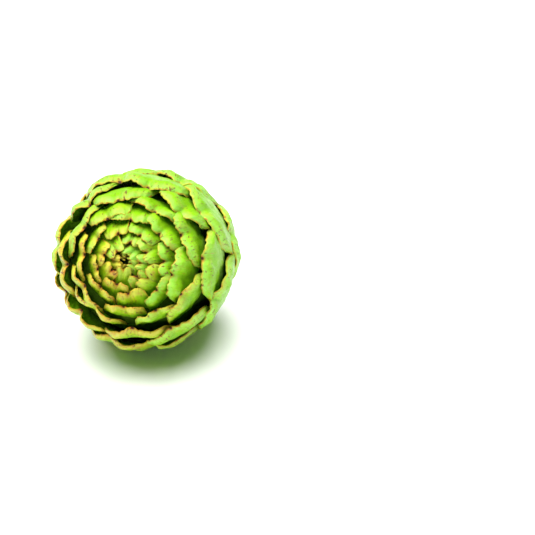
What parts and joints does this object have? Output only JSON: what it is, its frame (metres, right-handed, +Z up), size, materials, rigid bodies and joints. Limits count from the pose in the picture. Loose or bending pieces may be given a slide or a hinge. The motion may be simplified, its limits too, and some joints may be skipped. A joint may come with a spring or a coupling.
{
  "type": "artichoke",
  "caption": "Globe artichoke head of overlapping notched bracts on a short ribbed stem with small leaves, lying on its side.",
  "frame": {"origin": "on the table, under the middle of the whole part's bounding box", "axes": "+Z up from the table; the head's crown points towards -Y and up, the stem towards +Y and down"},
  "size_m": [0.0986, 0.1342, 0.1038],
  "materials": {
    "bract": "matt, finely ribbed yellow-green bract skin with brown edges and scars",
    "stem": "matt pale green ribbed stem with a paler cut end"
  },
  "bodies": {
    "root": {"head": "bract", "stem": "stem"}
  },
  "joints": []
}
